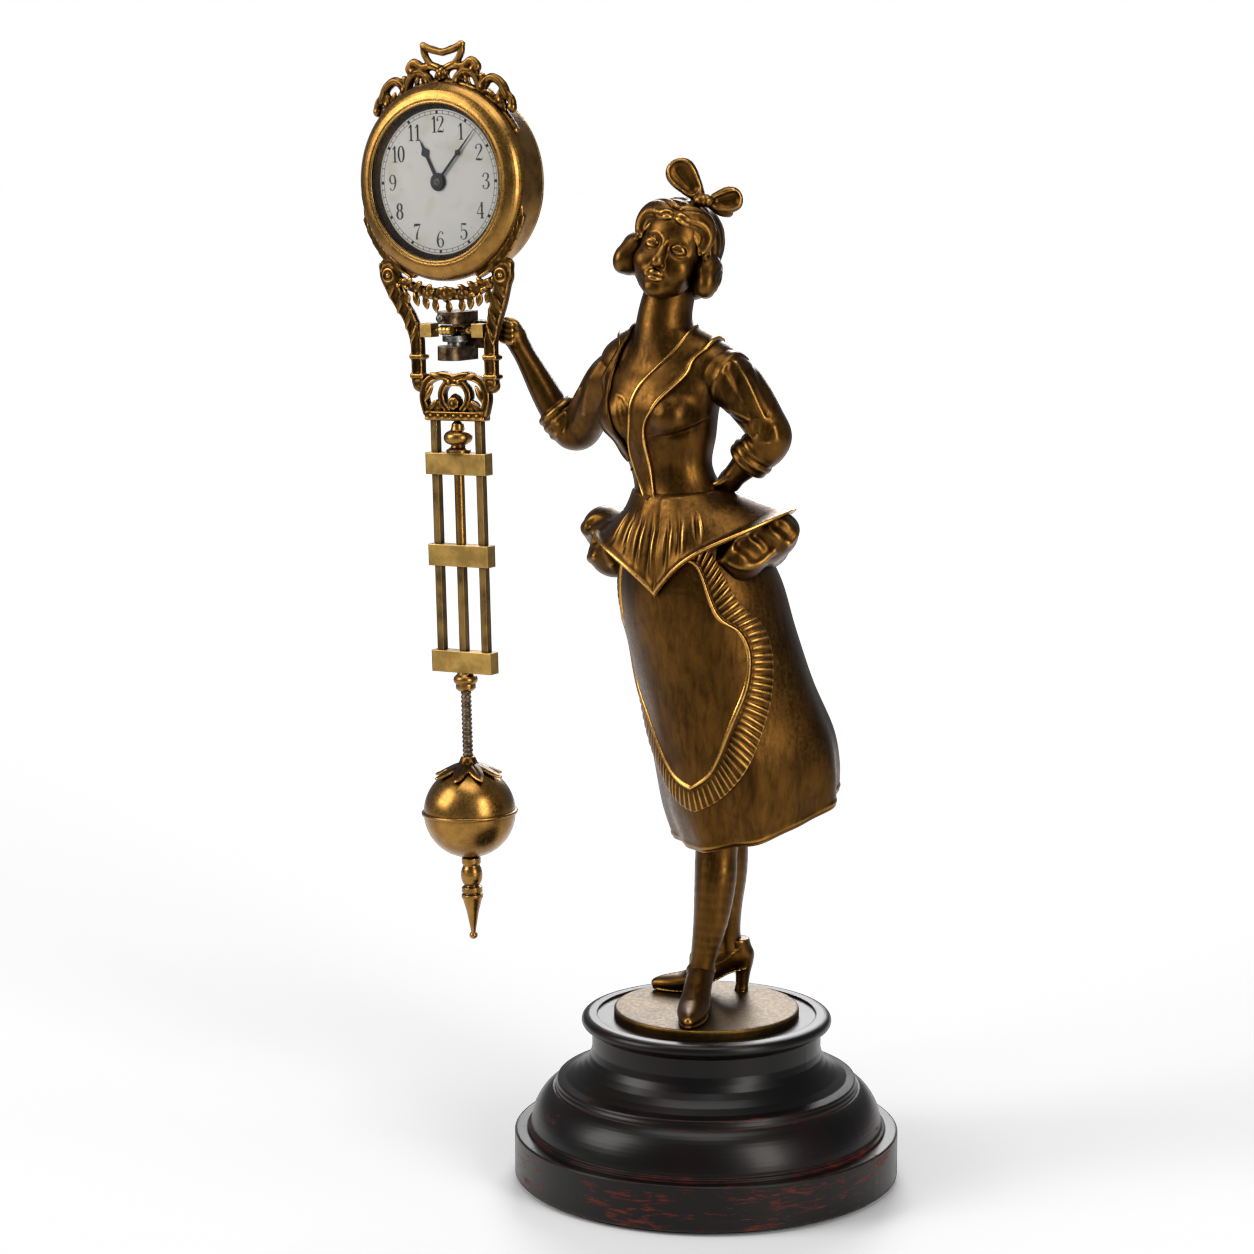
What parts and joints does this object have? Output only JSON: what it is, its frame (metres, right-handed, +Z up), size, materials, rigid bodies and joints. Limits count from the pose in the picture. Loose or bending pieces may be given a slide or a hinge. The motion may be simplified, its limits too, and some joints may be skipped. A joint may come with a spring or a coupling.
{
  "type": "swinging mystery clock",
  "caption": "Cast lady figure on a turned black wooden base holds up a swinging clock whose lyre frame, round case and rod-and-ball pendulum rock on a knife edge.",
  "frame": {"origin": "centre of the felt under the base, on the surface it stands on", "axes": "+Z up, -Y to the front where dial and figure face, -X to the side of the hanging clock"},
  "size_m": [0.2566, 0.17, 0.5],
  "materials": {
    "felt": "wool felt, dark green",
    "black_wood": "turned hardwood, black lacquer rubbed through to dark red",
    "figure_bronze": "cast bronze, brown patina with rubbed highlights",
    "plate_bronze": "cast bronze plate, brown patina, bright rim",
    "steel": "turned steel",
    "dark_iron": "blackened iron with a worn edge",
    "brass": "brushed brass",
    "polished_brass": "satin antique brass",
    "gilt": "cast brass, gilt highlights, near-black recesses",
    "glass": "clear flat glass",
    "dial_enamel": "matt off-white dial, black numerals",
    "blued_steel": "blued steel",
    "bar_bronze": "drawn brass bar, brown patina"
  },
  "bodies": {
    "stand": {"base_felt": "felt", "wooden_base": "black_wood", "fixing_stud": "steel", "fixing_nut": "steel", "figure_plate": "plate_bronze", "left_leg": "figure_bronze", "right_leg": "figure_bronze", "skirt": "figure_bronze", "apron": "figure_bronze", "apron_ruffle": "figure_bronze", "jacket": "figure_bronze", "left_pannier": "figure_bronze", "right_pannier": "figure_bronze", "collar": "figure_bronze", "head": "figure_bronze", "hair": "figure_bronze", "hair_bow": "figure_bronze", "left_arm": "figure_bronze", "right_arm": "figure_bronze", "yoke": "dark_iron", "yoke_screw": "steel", "pivot_seat": "steel"},
    "clock": {"knife_edge": "steel", "crossbar": "brass", "lyre_frame": "gilt", "crest": "gilt", "case_drum": "gilt", "bezel": "polished_brass", "glass": "glass", "dial": "dial_enamel", "back_cover": "brass", "cover_screws": "steel", "front_plate": "brass", "back_plate": "brass", "plate_pillars": "brass", "urn_nut": "polished_brass", "upper_block": "brass", "middle_block": "brass", "lower_block": "brass", "pendulum_bars": "bar_bronze", "centre_rod": "polished_brass", "collar_nut": "polished_brass", "beaded_rod": "dark_iron"},
    "minute_work": {"minute_hand": "blued_steel", "cannon_pinion": "steel", "centre_wheel": "brass"},
    "hour_work": {"hour_hand": "blued_steel", "hour_wheel": "brass"},
    "motion_work": {"motion_wheel": "brass"},
    "third_arbor": {"third_wheel": "brass"},
    "escape_arbor": {"escape_wheel": "brass"},
    "barrel": {"going_barrel": "brass"},
    "key": {"winding_key": "steel"},
    "pallets": {"pallet_pendulum": "steel"},
    "bob": {"leaf_cap": "gilt", "ball_top": "polished_brass", "ball_bottom": "polished_brass", "ball_band": "polished_brass"},
    "finial": {"rating_finial": "polished_brass"}
  },
  "joints": [
    {"name": "swing", "type": "hinge", "parent": "stand", "child": "clock", "pos_m": [-0.126, -0.01, 0.3685], "axis": [0, 1, 0], "range_deg": [-3.4, 6.6]},
    {"name": "minute_turn", "type": "hinge", "parent": "clock", "child": "minute_work", "pos_m": [-0.12792, -0.01, 0.43717], "axis": [0, 1, 0], "continuous": true},
    {"name": "hour_turn", "type": "hinge", "parent": "clock", "child": "hour_work", "pos_m": [-0.12792, -0.01, 0.43717], "axis": [0, 1, 0], "continuous": true},
    {"name": "motion_turn", "type": "hinge", "parent": "clock", "child": "motion_work", "pos_m": [-0.12263, -0.01, 0.42857], "axis": [0, 1, 0], "continuous": true},
    {"name": "third_turn", "type": "hinge", "parent": "clock", "child": "third_arbor", "pos_m": [-0.11211, -0.01, 0.44343], "axis": [0, 1, 0], "continuous": true},
    {"name": "escape_turn", "type": "hinge", "parent": "clock", "child": "escape_arbor", "pos_m": [-0.12036, -0.01, 0.45685], "axis": [0, 1, 0], "continuous": true},
    {"name": "barrel_turn", "type": "hinge", "parent": "clock", "child": "barrel", "pos_m": [-0.13994, -0.01, 0.42446], "axis": [0, 1, 0], "continuous": true},
    {"name": "key_turn", "type": "hinge", "parent": "clock", "child": "key", "pos_m": [-0.13994, -0.01, 0.42446], "axis": [0, 1, 0], "range_deg": [-1620, 0]},
    {"name": "pallet_swing", "type": "hinge", "parent": "clock", "child": "pallets", "pos_m": [-0.12878, -0.01, 0.46816], "axis": [0, 1, 0], "range_deg": [-4, 4]},
    {"name": "bob_travel", "type": "slide", "parent": "clock", "child": "bob", "axis": [-0.0279, 0, 0.9996], "range_m": [-0.003, 0.003]},
    {"name": "finial_turn", "type": "hinge", "parent": "bob", "child": "finial", "pos_m": [-0.11996, -0.01, 0.15228], "axis": [-0.0279, 0, 0.9996], "range_deg": [-1082, 1082]}
  ],
  "couplings": [
    {"joint": "hour_turn", "follows": "minute_turn", "ratio": 0.083333},
    {"joint": "motion_turn", "follows": "minute_turn", "ratio": -0.33333},
    {"joint": "third_turn", "follows": "minute_turn", "ratio": -7.5},
    {"joint": "escape_turn", "follows": "minute_turn", "ratio": 60},
    {"joint": "barrel_turn", "follows": "minute_turn", "ratio": -0.16667},
    {"joint": "finial_turn", "follows": "bob_travel", "rad_per_m": 6283.2}
  ]
}
